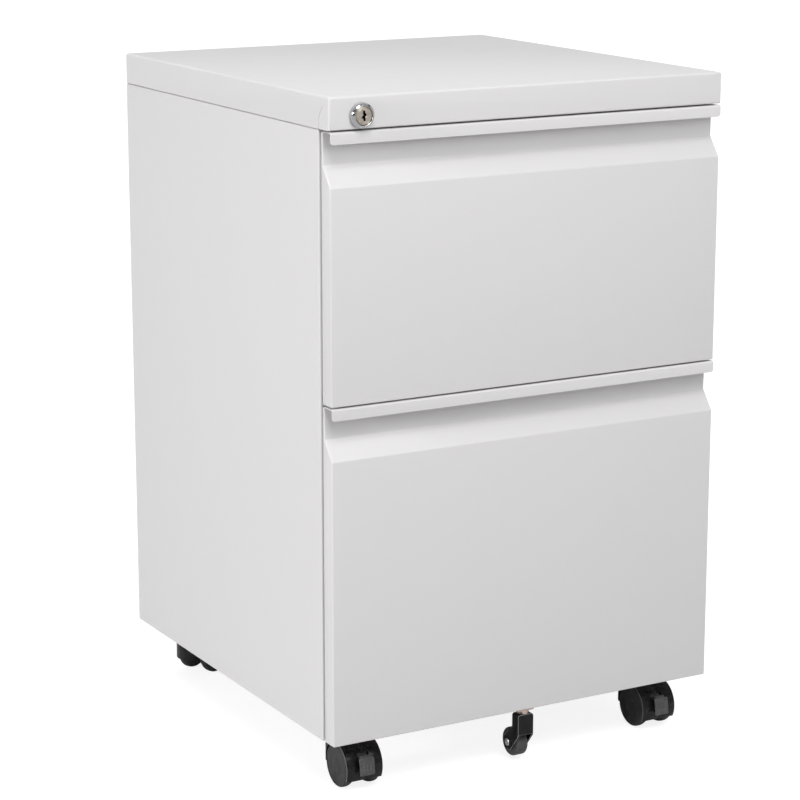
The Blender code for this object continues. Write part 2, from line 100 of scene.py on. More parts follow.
# %% Place the camera
VIEW_AZIMUTH = math.radians(-29.374)
VIEW_ELEVATION = math.radians(13.282)
VIEW_DISTANCE = 2.426
LENS = 116.98
aim = (cad_low + cad_high) / 2 + Vector((-0.0133, 0.0046, -0.0097))
back = Vector((
    math.sin(VIEW_AZIMUTH) * math.cos(VIEW_ELEVATION),
    -math.cos(VIEW_AZIMUTH) * math.cos(VIEW_ELEVATION),
    math.sin(VIEW_ELEVATION),
))
bpy.ops.object.camera_add(location=aim + back * VIEW_DISTANCE)
camera = bpy.context.object
camera.name = "camera"
camera.rotation_euler = (-back).to_track_quat("-Z", "Y").to_euler()
camera.data.lens = LENS
camera.data.clip_end = 100
bpy.context.scene.camera = camera
print("camera at", camera.location)

# %% [markdown]
# ## The studio
# A white product stands on a white floor in soft light. The sky is almost uniform, with a dark band
# at the horizon that chrome needs for its contrast. Wide suns add direction: one from high in
# front for the slopes under the pulls, one from the left for the side panel, and a weak one from
# behind. Suns don't fade with distance, so the floor stays even. A small lamp near the front
# does fade, and it lifts the upper drawer a little above the lower one.

# %% Floor, sky and suns
bpy.context.scene.view_settings.view_transform = "Standard"
FLOOR_SIZE = 80.0
FLOOR_GAP = 0.0002
bpy.ops.mesh.primitive_plane_add(size=FLOOR_SIZE, location=(0, 0, -FLOOR_GAP))
floor = bpy.context.object
floor.name = "floor"
floor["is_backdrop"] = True

SKY_STRENGTH = 0.52
SKY_BANDS = [
    (0.0, 0.02), (0.10, 0.02), (0.16, 1.0), (0.42, 1.0), (0.45, 0.03), (0.55, 0.03), (0.59, 1.0),
]
sky = bpy.data.worlds.new("studio_sky")
bpy.context.scene.world = sky
sky.use_nodes = True
sky_nodes, sky_links = sky.node_tree.nodes, sky.node_tree.links
sky_direction = sky_nodes.new("ShaderNodeTexCoord")
sky_height = sky_nodes.new("ShaderNodeSeparateXYZ")
sky_shade = sky_nodes.new("ShaderNodeValToRGB")
sky_stops = sky_shade.color_ramp.elements
while len(sky_stops) < len(SKY_BANDS):
    sky_stops.new(1.0)
for stop, (height, level) in zip(sky_stops, SKY_BANDS):
    stop.position = height
    stop.color = (level, level, level, 1)
sky_links.new(sky_direction.outputs["Generated"], sky_height.inputs[0])
sky_links.new(sky_height.outputs["Z"], sky_shade.inputs["Fac"])
sky_links.new(sky_shade.outputs["Color"], sky_nodes["Background"].inputs["Color"])
sky_nodes["Background"].inputs["Strength"].default_value = SKY_STRENGTH


def add_sun(name, azimuth, elevation, strength, spread):
    """A soft sun that shines from a compass angle round the object and a height, in degrees."""
    a, e = math.radians(azimuth), math.radians(elevation)
    source = Vector((math.sin(a) * math.cos(e), -math.cos(a) * math.cos(e), math.sin(e)))
    bpy.ops.object.light_add(type="SUN", rotation=source.to_track_quat("Z", "Y").to_euler())
    sun = bpy.context.object
    sun.name = name
    sun.data.energy = strength
    sun.data.angle = math.radians(spread)


add_sun("key_sun", -20, 55, 1.30, 24)
add_sun("left_sun", -88, 16, 1.60, 14)
add_sun("back_sun", 150, 40, 0.40, 70)
LAMP_AT = Vector((0.02, -1.05, 1.0))
LAMP_TARGET = Vector((0, -0.2, 0.55))
LAMP_SIZE = 0.5
LAMP_POWER = 3.2
lamp_turn = (LAMP_AT - LAMP_TARGET).to_track_quat("Z", "Y").to_euler()
bpy.ops.object.light_add(type="AREA", location=LAMP_AT, rotation=lamp_turn)
near_lamp = bpy.context.object
near_lamp.name = "near_lamp"
near_lamp.data.size = LAMP_SIZE
near_lamp.data.energy = LAMP_POWER
print("studio: one sky, three suns and a near lamp")

# %% [markdown]
# ## Shader sums
# A finish is easier to read as a sum than as a web of nodes. Wire wraps one output socket, and
# adding or multiplying wires adds the Math nodes. Any other node comes from Finish.node.


# %% A small language for finishes
class Wire:
    """One output of a shader graph, on which Python's sums work."""

    def __init__(self, finish, socket):
        self.finish = finish
        self.socket = socket

    def sum(self, operation, first, second):
        return self.finish.node("ShaderNodeMath", {"operation": operation}, {0: first, 1: second})

    def __add__(self, other):
        return self.sum("ADD", self, other)

    def __mul__(self, other):
        return self.sum("MULTIPLY", self, other)

    __radd__ = __add__
    __rmul__ = __mul__


class Finish:
    """A material with a Principled shader, and short ways to add to it."""

    def __init__(self, name, **sockets):
        self.material = bpy.data.materials.new(name)
        self.material.use_nodes = True
        self.tree = self.material.node_tree
        self.shader = self.tree.nodes["Principled BSDF"]
        for socket, value in sockets.items():
            self.shader.inputs[socket.replace("_", " ")].default_value = value

    def node(self, kind, settings=None, inputs=None, output=0):
        """A new node of a kind, with its settings first and then its sockets' values or links."""
        made = self.tree.nodes.new(kind)
        for name, value in (settings or {}).items():
            if name == "stops":
                ramp = made.color_ramp.elements
                while len(ramp) < len(value):
                    ramp.new(1.0)
                for stop, (place, colour) in zip(ramp, value):
                    stop.position = place
                    stop.color = colour
            else:
                setattr(made, name, value)
        for name, value in (inputs or {}).items():
            self.plug(made.inputs[name], value)
        return Wire(self, made.outputs[output])

    def plug(self, socket, value):
        if isinstance(value, Wire):
            self.tree.links.new(value.socket, socket)
        else:
            socket.default_value = value

    def place(self):
        """Where a point is on the object, in metres."""
        return self.node("ShaderNodeTexCoord", output="Object")

    def stretch(self, factors):
        """The place, stretched along each axis, for brushed or drawn marks."""
        return self.node(
            "ShaderNodeVectorMath", {"operation": "MULTIPLY"}, {0: self.place(), 1: factors}
        )

    def noise(self, grain, detail=2.0, roughness=0.5, where=None):
        """Soft random values near 0.5 with a grain in metres."""
        sockets = {
            "Vector": where or self.place(), "Scale": 1 / grain, "Detail": detail,
            "Roughness": roughness,
        }
        return self.node("ShaderNodeTexNoise", inputs=sockets)

    def ramp(self, value, stops):
        """A value turned into a grey or a colour by stops of (place, colour)."""
        return self.node("ShaderNodeValToRGB", {"stops": stops}, {"Fac": value})

    def between(self, amount, first, second):
        """A colour part of the way between two."""
        return self.node(
            "ShaderNodeMix", {"data_type": "RGBA"}, {0: amount, 6: first, 7: second}, 2
        )

    def use(self, **sockets):
        for socket, value in sockets.items():
            self.plug(self.shader.inputs[socket.replace("_", " ")], value)
        return self.material

    def bumps(self, height, depth, under=None):
        """A bump of a real depth in metres, on top of another bump if one is given."""
        sockets = {"Height": height, "Strength": 1.0, "Distance": depth}
        if under:
            sockets["Normal"] = under
        return self.node("ShaderNodeBump", inputs=sockets)


def grey(level, alpha=1.0):
    return (level, level, level, alpha)


print("shader language ready")

# %% [markdown]
# ## White powder coat
# Powder coat melts into a skin with an orange-peel texture about a millimetre across and a few
# microns deep. Each panel is also very slightly wavy, and the colour drifts by a hair. The
# roughness drifts too, so a highlight breaks up softly.


# %% White powder coat
def make_powder_coat(name, colour, shade):
    """White stoved powder, from a base colour and a slightly darker shade of it."""
    finish = Finish(name, Specular_IOR_Level=0.45)
    drift = finish.noise(0.30, detail=3)
    dust = finish.noise(0.0022, detail=1)
    speck = finish.ramp(dust, [(0.66, grey(0.0)), (0.78, grey(1.0))])
    base = finish.between(drift, (*shade, 1), (*colour, 1))
    base = finish.between(speck * 0.07, base, (*[0.9 * c for c in shade], 1))
    waves = finish.bumps(finish.noise(0.045, detail=1), 0.00010)
    peel = finish.bumps(finish.noise(0.0013, detail=2), 0.000022, waves)
    roughness = 0.30 + 0.12 * finish.noise(0.02, detail=3)
    return finish.use(Base_Color=base, Roughness=roughness, Normal=peel)


powder_coat = make_powder_coat("powder_coat", (0.703, 0.694, 0.695), (0.682, 0.672, 0.674))
print("powder coat made")

# %% [markdown]
# ## The floor
# The floor is a pale matt grey, so it throws only a little light up under the pedestal. The
# camera alone sees it half mixed with a glow, which brings the background up to clean white.

# %% Floor paint
FLOOR_GREY = 0.62
FLOOR_GLOW = 1.7
GLOW_SHARE = 0.5
floor_paint = Finish(
    "floor_paint", Base_Color=grey(FLOOR_GREY), Roughness=0.9, Specular_IOR_Level=0.0
)
seen = floor_paint.node("ShaderNodeLightPath", output="Is Camera Ray")
glow = floor_paint.node("ShaderNodeEmission", inputs={"Strength": FLOOR_GLOW}, output="Emission")
matte = Wire(floor_paint, floor_paint.shader.outputs["BSDF"])
mixed = floor_paint.node("ShaderNodeMixShader", inputs={0: seen * GLOW_SHARE, 1: matte, 2: glow})
floor_out = floor_paint.tree.nodes["Material Output"]
floor_paint.plug(floor_out.inputs["Surface"], mixed)
floor.data.materials.append(floor_paint.material)
print("floor painted")

# %% [markdown]
# ## Bare and plated steel
# Bright zinc has a faint blue and straw drift, and its rolled sheet keeps fine lines along its
# length. Chrome is smooth, and only its smudges show. The lock's plug is nickel, turned on a
# lathe and a little warm. The small fork is black from its electrocoat bath, and its thin edges
# are painted a lighter grey as a painted highlight.


# %% Metals
def make_zinc(name, dark, light):
    """Bright zinc plating on rolled steel, from the two ends of its colour drift."""
    finish = Finish(name, Metallic=1.0)
    cloud = finish.noise(0.012, detail=4, roughness=0.6)
    base = finish.between(cloud, (*dark, 1), (*light, 1))
    lines = finish.noise(0.0006, detail=2, where=finish.stretch((1.0, 0.04, 1.0)))
    roughness = 0.24 + 0.16 * cloud + 0.06 * lines
    return finish.use(Base_Color=base, Roughness=roughness, Normal=finish.bumps(lines, 0.000006))


def make_chrome():
    """Polished chrome with faint smudges."""
    finish = Finish("chrome_plate", Metallic=1.0)
    smudge = finish.noise(0.004, detail=3)
    base = finish.between(smudge, (0.48, 0.49, 0.50, 1), (0.62, 0.62, 0.62, 1))
    return finish.use(Base_Color=base, Roughness=0.03 + 0.08 * smudge)


def make_nickel(axis_x, axis_z):
    """Warm satin nickel with rings from turning, round an axis along Y."""
    finish = Finish("satin_nickel", Metallic=1.0)
    centred = finish.node(
        "ShaderNodeMapping", inputs={"Vector": finish.place(), "Location": (-axis_x, 0, -axis_z)}
    )
    settings = {"wave_type": "RINGS", "rings_direction": "Y"}
    rings = finish.node(
        "ShaderNodeTexWave", settings, {"Vector": centred, "Scale": 500.0, "Distortion": 0.6}
    )
    cloud = finish.noise(0.003, detail=4)
    base = finish.between(cloud, (0.46, 0.39, 0.33, 1), (0.76, 0.70, 0.62, 1))
    roughness = 0.22 + 0.14 * cloud + 0.05 * rings
    return finish.use(Base_Color=base, Roughness=roughness, Normal=finish.bumps(rings, 0.000008))


def make_black_coat(name, dark, light):
    """Semi-gloss black electrocoat on pressed steel, from its two greys."""
    finish = Finish(name, Specular_IOR_Level=0.28)
    cloud = finish.noise(0.006, detail=3)
    base = finish.between(cloud, grey(dark), grey(light))
    peel = finish.bumps(finish.noise(0.0009), 0.00002)
    return finish.use(Base_Color=base, Roughness=0.16 + 0.12 * cloud, Normal=peel)


lock_low, lock_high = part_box("lock_housing")
LOCK_CENTRE = (lock_low + lock_high) / 2
zinc = make_zinc("zinc", (0.56, 0.58, 0.61), (0.74, 0.73, 0.69))
warm_zinc = make_zinc("warm_zinc", (0.60, 0.46, 0.40), (0.74, 0.62, 0.54))
chrome = make_chrome()
nickel = make_nickel(LOCK_CENTRE.x, LOCK_CENTRE.z)
black_coat = make_black_coat("black_electrocoat", 0.004, 0.009)
# A lighter grey for the fork's rounded edges, as a painted highlight.
highlight_coat = make_black_coat("highlight_electrocoat", 0.16, 0.36)
print("metals made")

# %% [markdown]
# ## Moulded nylon
# The castors are black nylon. Its mould was spark-eroded, so the skin has a fine matt grain, and
# handling has polished it unevenly. The treads are a softer grade that scuffs to grey, and a
# lighter grey is painted on rims and rounded edges as a painted highlight.


# %% Nylon
def make_nylon(name, dark, light, roughness, shine):
    """Black moulded nylon, from its two greys, its least roughness and its specular level."""
    finish = Finish(name, Specular_IOR_Level=shine)
    cloud = finish.noise(0.007, detail=4, roughness=0.6)
    streak = finish.noise(0.0011, detail=3, where=finish.stretch((1.0, 0.12, 0.12)))
    mark = finish.ramp(streak, [(0.50, grey(0.0)), (0.74, grey(1.0))])
    base = finish.between(cloud, grey(dark), grey(light))
    base = finish.between(mark * 0.35, base, grey(light * 2.6))
    grain = finish.bumps(finish.noise(0.00045, detail=2), 0.00003)
    drawn = finish.bumps(streak, 0.00003, grain)
    return finish.use(Base_Color=base, Roughness=roughness + 0.16 * cloud, Normal=drawn)


hood_nylon = make_nylon("hood_nylon", 0.005, 0.011, 0.20, 0.30)
wheel_nylon = make_nylon("wheel_nylon", 0.022, 0.036, 0.34, 0.40)
small_wheel_nylon = make_nylon("small_wheel_nylon", 0.045, 0.075, 0.36, 0.40)
lever_nylon = make_nylon("lever_nylon", 0.045, 0.090, 0.28, 0.45)
# A lighter grey for rims and rounded edges, as a painted highlight.
highlight_nylon = make_nylon("highlight_nylon", 0.085, 0.190, 0.22, 0.50)
bumper_rubber = make_nylon("bumper_rubber", 0.30, 0.34, 0.55, 0.40)
print("nylon made")

# %% [markdown]
# ## Tools for sheet metal
# A press brake folds one flat sheet, so a folded piece is modelled as a thin surface first, and
# its folds are bevelled while it has no thickness. Only then does Solidify give it 0.8 mm. If the
# thick solid were bevelled instead, its thin cut edges would limit every radius.

# %% Selection and edit helpers
SHEET = 0.8 * MM
NEAR = 0.02 * MM
MERGE = 0.002 * MM
FOLD_ANGLE = 0.35


def clear_hold():
    """Nothing selected, in object mode."""
    if bpy.context.object and bpy.context.object.mode != "OBJECT":
        bpy.ops.object.mode_set(mode="OBJECT")
    bpy.ops.object.select_all(action="DESELECT")


def hold(piece):
    """Select one piece and nothing else."""
    clear_hold()
    piece.select_set(True)
    bpy.context.view_layer.objects.active = piece


def settle(piece):
    """The piece's place goes into its mesh, and its object to the origin."""
    hold(piece)
    bpy.ops.object.transform_apply(location=True, rotation=True, scale=True)
    return piece


def pick(kind, wanted):
    """In edit mode, select the VERT, EDGE or FACE elements that a test accepts."""
    bpy.ops.mesh.select_mode(type=kind)
    bpy.ops.mesh.select_all(action="DESELECT")
    mesh = bmesh.from_edit_mesh(bpy.context.object.data)
    elements = {"VERT": mesh.verts, "EDGE": mesh.edges, "FACE": mesh.faces}[kind]
    for element in [element for element in elements if wanted(element)]:
        element.select_set(True)
    mesh.select_flush_mode()
    bmesh.update_edit_mesh(bpy.context.object.data)


def middle(element):
    """The middle of an edge or a face."""
    points = [v.co for v in element.verts]
    return sum(points, Vector()) / len(points)


def near(a, b):
    return abs(a - b) < NEAR


def modify(piece, kind, **settings):
    """Add a modifier, set it and apply it."""
    hold(piece)
    modifier = piece.modifiers.new(kind.title(), kind)
    for name, value in settings.items():
        setattr(modifier, name, value)
    bpy.ops.object.modifier_apply(modifier=modifier.name)


def shade(piece, degrees=32):
    """Smooth over the radii and crisp at the folds."""
    hold(piece)
    bpy.ops.object.shade_smooth_by_angle(angle=math.radians(degrees))


def start_box(name, low, high):
    """A cube primitive stretched between two corners, ready to be shaped."""
    clear_hold()
    size = high - low
    bpy.ops.mesh.primitive_cube_add(size=1, location=(low + high) / 2, scale=size)
    piece = bpy.context.object
    piece.name = name
    return settle(piece)


def round_folds(radius, steps=4):
    """In edit mode, bevel each edge where two faces meet at a fold."""
    pick("EDGE", lambda e: len(e.link_faces) == 2 and e.calc_face_angle(0) > FOLD_ANGLE)
    bpy.ops.mesh.bevel(offset=radius, segments=steps, profile=0.5, affect="EDGES")


def face_out():
    """In edit mode, merge doubles and turn all faces outwards."""
    bpy.ops.mesh.select_all(action="SELECT")
    bpy.ops.mesh.remove_doubles(threshold=0.005 * MM)
    bpy.ops.mesh.normals_make_consistent(inside=False)


def thicken(piece, outward):
    """Give a folded surface its thickness inwards; outward is a test face's true normal."""
    hold(piece)
    largest = max(piece.data.polygons, key=lambda p: p.area * (p.normal.dot(outward)) ** 2)
    offset = -1.0 if largest.normal.dot(outward) > 0 else 1.0
    modify(piece, "SOLIDIFY", thickness=SHEET, offset=offset, use_even_offset=True)
    bpy.ops.object.mode_set(mode="EDIT")
    face_out()
    bpy.ops.object.mode_set(mode="OBJECT")


def round_corners(piece, width, steps, degrees, **settings):
    """Bevel the edges sharper than an angle in degrees by a width in millimetres."""
    modify(
        piece, "BEVEL", width=width * MM, segments=steps, limit_method="ANGLE",
        angle_limit=math.radians(degrees), **settings,
    )


def soften_edges(piece):
    """A hair of a radius on the cut edges, so that they catch the light."""
    round_corners(piece, 0.16, 1, 55, miter_outer="MITER_ARC")


def round_with_highlight(piece, material, highlight_paint, width, degrees):
    """Round the sharp edges of a dark piece, and paint the roundings lighter as a painted
    highlight.
    """
    piece.data.materials.append(material)
    piece.data.materials.append(highlight_paint)
    round_corners(piece, width, 2, degrees, material=1)
    shade(piece, 40)


def complete(piece, material, body, slot, *replaced):
    """Paint a bare piece, let it ride on a body and let it stand for its CAD nodes."""
    if not piece.data.materials:
        piece.data.materials.append(material)
    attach(piece, body)
    if replaced:
        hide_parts(*replaced)
    print(f"{piece.name}: {len(piece.data.polygons)} faces")
    return piece


WHITE = "white_powder_coat"
STEEL = "zinc_plated_steel"
CHROME = "chrome"
PLASTIC = "black_plastic"
BLACK_STEEL = "black_painted_steel"
print("sheet-metal tools ready")

# %% [markdown]
# ## The lid
# The lid is a shallow pan, upside down. Its top edges are rolled over a wide radius, which
# gives the bright line round the top, and the front edge turns under by 12 mm. A cube without
# its lower face, bevelled and thickened, is that pan.

# %% Fold the lid
LID_EDGE_RADIUS = 2.0 * MM
LID_HEM = 12 * MM
HEM_INSET = 6 * MM
lid_low, lid_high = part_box("top_cap")
lid = start_box("lid", lid_low, lid_high)
bpy.ops.object.mode_set(mode="EDIT")
pick("FACE", lambda f: near(middle(f).z, lid_low.z))
bpy.ops.mesh.delete(type="FACE")
pick("EDGE", lambda e: near(middle(e).z, lid_low.z) and near(middle(e).y, lid_low.y))
bpy.ops.mesh.extrude_region_move(TRANSFORM_OT_translate={"value": (0, LID_HEM, 0)})
bpy.ops.transform.resize(value=(1 - HEM_INSET / (lid_high.x - lid_low.x), 1, 1))
round_folds(LID_EDGE_RADIUS, 6)
face_out()
bpy.ops.object.mode_set(mode="OBJECT")
thicken(lid, Vector((0, 0, 1)))
print("lid folded:", len(lid.data.polygons), "faces")

# %% [markdown]
# ## Tools for tracing and turning
# Every other section starts as a wire: one vertex extruded from point to point. A closed wire
# is filled and pulled straight into a plate, or spun round an axis as on a lathe. The plates,
# rods and blocks then cut or join the larger pieces.


# %% Tracing and turning
def trace(name, points):
    """A wire from point to point, by extruding one vertex; it stays in edit mode."""
    clear_hold()
    bpy.ops.mesh.primitive_plane_add(size=1 * MM, location=points[0])
    piece = bpy.context.object
    piece.name = name
    settle(piece)
    bpy.ops.object.mode_set(mode="EDIT")
    bpy.ops.mesh.select_mode(type="VERT")
    bpy.ops.mesh.select_all(action="SELECT")
    bpy.ops.mesh.merge(type="CENTER")
    for start, end in zip(points, points[1:]):
        step = Vector(end) - Vector(start)
        bpy.ops.mesh.extrude_vertices_move(TRANSFORM_OT_translate={"value": step})
    return piece


def plate(name, outline, axis, start, end):
    """A closed outline in millimetres, filled and extruded along X, Y or Z."""
    along = {"X": 0, "Y": 1, "Z": 2}[axis]

    def point(a, b, distance):
        spot = [a, b]
        spot.insert(along, distance)
        return Vector(spot) * MM

    points = [point(a, b, start) for a, b in outline]
    piece = trace(name, points + points[:1])
    bpy.ops.mesh.select_all(action="SELECT")
    bpy.ops.mesh.remove_doubles(threshold=MERGE)
    bpy.ops.mesh.edge_face_add()
    depth = point(0, 0, end - start)
    bpy.ops.mesh.extrude_region_move(TRANSFORM_OT_translate={"value": depth})
    face_out()
    bpy.ops.object.mode_set(mode="OBJECT")
    return piece


def lathe(name, profile, axis, steps=64, centre=(0, 0, 0), closed=False):
    """A profile of (radius, distance) in millimetres, spun round X, Y or Z through a centre."""
    order = {"X": (1, 0, 0), "Y": (0, 1, 0), "Z": (0, 0, 1)}[axis]
    if axis == "X":
        points = [Vector((a, r, 0)) for r, a in profile]
    elif axis == "Y":
        points = [Vector((r, a, 0)) for r, a in profile]
    else:
        points = [Vector((r, 0, a)) for r, a in profile]
    points = [p * MM + Vector(centre) for p in points]
    piece = trace(name, points + points[:1] if closed else points)
    bpy.ops.mesh.select_all(action="SELECT")
    bpy.ops.mesh.remove_doubles(threshold=MERGE)
    bpy.ops.mesh.select_all(action="SELECT")
    bpy.ops.mesh.spin(steps=steps, angle=math.tau, center=centre, axis=order)
    face_out()
    bpy.ops.object.mode_set(mode="OBJECT")
    return piece


def arc(centre, radius, start, end, steps):
    """Points of an arc between two angles in degrees."""
    angles = [math.radians(start + (end - start) * i / steps) for i in range(steps + 1)]
    return [(centre[0] + radius * math.cos(a), centre[1] + radius * math.sin(a)) for a in angles]


def rod(name, radius, axis, start, end, centre=(0, 0, 0), vertices=64):
    """A round bar in millimetres from a cylinder primitive, as a tool for cuts and joints."""
    turn = {"X": (0, math.radians(90), 0), "Y": (math.radians(90), 0, 0), "Z": (0, 0, 0)}[axis]
    along = {"X": (1, 0, 0), "Y": (0, 1, 0), "Z": (0, 0, 1)}[axis]
    spot = (Vector(along) * (start + end) / 2 + Vector(centre)) * MM
    clear_hold()
    bpy.ops.mesh.primitive_cylinder_add(
        vertices=vertices, radius=radius * MM, depth=(end - start) * MM, rotation=turn,
        location=spot,
    )
    piece = bpy.context.object
    piece.name = name
    return settle(piece)


def combine(target, operation, tool):
    """Cut, join or trim a piece with a tool, and throw the tool away."""
    modify(target, "BOOLEAN", operation=operation, object=tool, solver="EXACT")
    bpy.data.objects.remove(tool)
    hold(target)
    bpy.ops.object.mode_set(mode="EDIT")
    face_out()
    bpy.ops.object.mode_set(mode="OBJECT")


def block(name, low, high):
    """A box between two corners in millimetres, as a tool for cuts and joints."""
    return start_box(name, Vector(low) * MM, Vector(high) * MM)


print("tools for tracing, turning and cutting ready")

# %% [markdown]
# ## Finishing the lid
# The lid is drilled for the lock. The side hem's tab meets the front at a curved seam, which is
# cut as a shallow groove into each side.

# %% Drill the lid and cut its seams
LOCK_AT = LOCK_CENTRE / MM
LOCK_HOLE = 8.4
SEAM_DEPTH = 0.3
FACE_Y = lid_low.y / MM
drill = rod("drill", LOCK_HOLE, "Y", FACE_Y - 5, FACE_Y + 5, (LOCK_AT.x, 0, LOCK_AT.z))
combine(lid, "DIFFERENCE", drill)
TAB_SEAM = [(18.2, 0), (18.2, 9.5), (11.2, 19.5), (10.8, 19.3), (17.75, 9.4), (17.75, 0)]
seam_outline = [(FACE_Y + y, lid_low.z / MM - 0.2 + z) for y, z in TAB_SEAM]
LID_HALF = lid_high.x / MM
for side in (-1, 1):
    start, end = sorted((side * (LID_HALF - SEAM_DEPTH), side * (LID_HALF + 1)))
    combine(lid, "DIFFERENCE", plate("seam", seam_outline, "X", start, end))
soften_edges(lid)
shade(lid)
complete(lid, powder_coat, "cabinet", WHITE, "top_cap")

# %% [markdown]
# ## The side pans
# Each side panel folds inwards on all four edges, and its front fold turns back once more so
# that no raw edge faces the drawers. The left pan's top fold has a slot for the lock's lifting bar.

# %% Fold the side pans
PAN_RADIUS = 1.5 * MM
PAN_RETURN = 5.1 * MM
RETURN_SHARE = 0.93
SLOT_BEFORE = Vector((3, 1, 4)) * MM
SLOT_AFTER = Vector((5, 2, 4)) * MM
for side_name, side in (("left", -1), ("right", 1)):
    node = f"side_panel_{side_name}"
    low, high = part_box(node)
    inner = high.x if side < 0 else low.x
    pan = start_box(f"side_pan_{side_name}", low, high)
    bpy.ops.object.mode_set(mode="EDIT")
    pick("FACE", lambda f: near(middle(f).x, inner))
    bpy.ops.mesh.delete(type="FACE")
    pick("EDGE", lambda e: near(middle(e).x, inner) and near(middle(e).y, low.y))
    bpy.ops.mesh.extrude_region_move(TRANSFORM_OT_translate={"value": (0, PAN_RETURN, 0)})
    bpy.ops.transform.resize(value=(1, 1, RETURN_SHARE))
    round_folds(PAN_RADIUS, 4)
    face_out()
    bpy.ops.object.mode_set(mode="OBJECT")
    thicken(pan, Vector((side, 0, 0)))
    if side < 0:
        bar_low, bar_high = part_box("lock_bar")
        slot_low = Vector((bar_low.x, bar_low.y, high.z)) - SLOT_BEFORE
        slot_high = Vector((bar_low.x, bar_high.y, high.z)) + SLOT_AFTER
        combine(pan, "DIFFERENCE", start_box("slot_cutter", slot_low, slot_high))
    soften_edges(pan)
    shade(pan)
    complete(pan, powder_coat, "cabinet", WHITE, node)

# %% [markdown]
# ## The drawer fronts
# A front is one sheet folded along its whole width: the lip hangs down, the top turns back, the
# sheet drops behind the fingers, slopes out again and runs down as the flat face. It is modelled
# the same way, by extruding one edge from fold to fold. The sides then turn back to one plane.

# %% A sheet folded edge by edge
LIP = 9.2 * MM
RECESS_DEPTH = 13.0 * MM
RECESS_HEIGHT = 27.5 * MM
SLOPE_HEIGHT = 17.2 * MM
BOTTOM_UPTURN = 11 * MM
BACK_FLANGE = 27 * MM
LIP_CORNER = 2.6 * MM
FOLD_RADIUS = 0.95 * MM


def start_edge(name, half_width, y, z):
    """One edge along X, from a plane that is squeezed flat."""
    clear_hold()
    bpy.ops.mesh.primitive_plane_add(size=2 * half_width, location=(0, y, z))
    piece = bpy.context.object
    piece.name = name
    settle(piece)
    bpy.ops.object.mode_set(mode="EDIT")
    bpy.ops.mesh.select_mode(type="VERT")
    bpy.ops.mesh.select_all(action="SELECT")
    bpy.ops.transform.resize(value=(1, 0, 1), center_override=(0, y, z))
    bpy.ops.mesh.delete(type="ONLY_FACE")
    bpy.ops.mesh.select_all(action="SELECT")
    bpy.ops.mesh.remove_doubles(threshold=NEAR)
    return piece


def fold_front(name, node):
    """A drawer front as one folded sheet, with its sides turned back."""
    low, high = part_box(node)
    half = high.x
    recess = low.y + RECESS_DEPTH
    slope_top = high.z - RECESS_HEIGHT
    slope_bottom = slope_top - SLOPE_HEIGHT
    path = [
        (low.y, high.z - LIP), (low.y, high.z), (recess, high.z), (recess, slope_top),
        (low.y, slope_bottom), (low.y, low.z), (high.y, low.z), (high.y, low.z + BOTTOM_UPTURN),
    ]
    front = start_edge(name, half, *path[0])
    for (y0, z0), (y1, z1) in zip(path, path[1:]):
        step = (0, y1 - y0, z1 - z0)
        bpy.ops.mesh.extrude_region_move(TRANSFORM_OT_translate={"value": step})

    def at_side(e):
        """A raw edge at either end that is not on the lip, the upturn, the top or the bottom."""
        spot = middle(e)
        raw_end = len(e.link_faces) == 1 and near(abs(spot.x), half)
        inside = low.z + NEAR < spot.z < high.z - NEAR
        lip = min(v.co.z for v in e.verts) > slope_top + NEAR and near(spot.y, low.y)
        upturn = near(spot.y, high.y)
        return raw_end and inside and not (lip or upturn)

    pick("EDGE", at_side)
    bpy.ops.mesh.extrude_region_move(TRANSFORM_OT_translate={"value": (0, 0, 0)})
    bpy.ops.transform.resize(value=(1, 0, 1), center_override=(0, high.y, 0))
    bpy.ops.mesh.select_all(action="SELECT")
    bpy.ops.mesh.remove_doubles(threshold=NEAR)

    def at_back(side, e):
        """A raw upright edge at the rear of one side, above the upturn."""
        upright = all(near(v.co.x, side * half) for v in e.verts)
        rear = all(near(v.co.y, high.y) for v in e.verts)
        above = middle(e).z > low.z + BOTTOM_UPTURN + 1 * MM
        return upright and rear and above and len(e.link_faces) == 1

    for side in (-1, 1):
        pick("EDGE", lambda e: at_back(side, e))
        inward = (-side * BACK_FLANGE, 0, 0)
        bpy.ops.mesh.extrude_region_move(TRANSFORM_OT_translate={"value": inward})
    pick("VERT", lambda v: near(v.co.z, high.z - LIP) and near(v.co.y, low.y))
    bpy.ops.mesh.bevel(offset=LIP_CORNER, segments=6, affect="VERTICES")
    round_folds(FOLD_RADIUS, 4)
    face_out()
    bpy.ops.object.mode_set(mode="OBJECT")
    thicken(front, Vector((0, -1, 0)))
    soften_edges(front)
    shade(front)
    return front


for level in ("upper", "lower"):
    front = fold_front(f"{level}_front", f"{level}_drawer_front")
    complete(front, powder_coat, f"{level}_drawer", WHITE, f"{level}_drawer_front")

# %% [markdown]
# ## The trays
# Behind each front hangs a tray, folded from the same sheet. Its front wall is taller than its
# sides, because the front is screwed to it, and the tops of its sides turn outwards over the
# slides. It starts as a box without a top.

